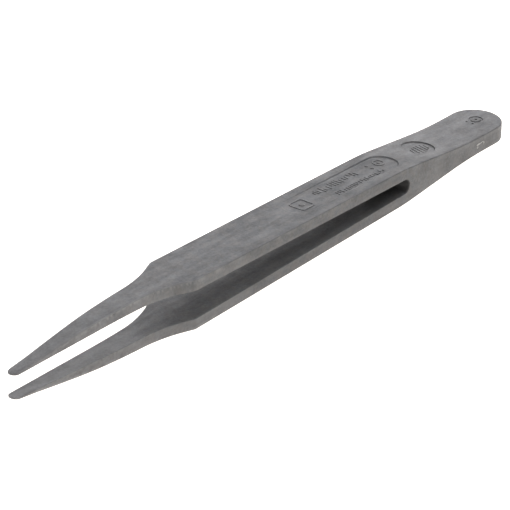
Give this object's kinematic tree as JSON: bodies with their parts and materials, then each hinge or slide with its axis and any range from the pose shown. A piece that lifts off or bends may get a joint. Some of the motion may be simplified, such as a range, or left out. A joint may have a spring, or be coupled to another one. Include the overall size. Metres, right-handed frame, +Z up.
{
  "type": "plastic tweezers",
  "caption": "Flat plastic tweezers: a pair of spring arms joined at a solid rounded tail, with wide grips, stepped shoulders and slim tapered blades with rounded tips.",
  "frame": {"origin": "middle of the bounding box in plan, on the plane that the flat outer face of the lower arm rests on", "axes": "+X from the tips towards the tail, +Y across the width, +Z up, out of the plane that the lower arm rests on"},
  "size_m": [0.115, 0.0088, 0.0084],
  "materials": {
    "conductive_plastic": "matte dark grey carbon-filled moulding, faintly mottled, with lighter rubbed edges"
  },
  "bodies": {
    "tail": {"tail_block": "conductive_plastic"},
    "upper_arm": {"upper_flexure": "conductive_plastic", "upper_grip": "conductive_plastic", "upper_blade": "conductive_plastic"},
    "lower_arm": {"lower_flexure": "conductive_plastic", "lower_grip": "conductive_plastic", "lower_blade": "conductive_plastic"}
  },
  "joints": [
    {"name": "upper_arm_bend", "type": "hinge", "parent": "tail", "child": "upper_arm", "pos_m": [0.02839, 0, 0.00521], "axis": [0, -1, 0], "range_deg": [0, 1.15], "stiffness_Nm_per_rad": 1.8},
    {"name": "lower_arm_bend", "type": "hinge", "parent": "tail", "child": "lower_arm", "pos_m": [0.02831, 0, 0.00093], "axis": [0, 1, 0], "range_deg": [0, 1.15], "stiffness_Nm_per_rad": 1.8}
  ]
}
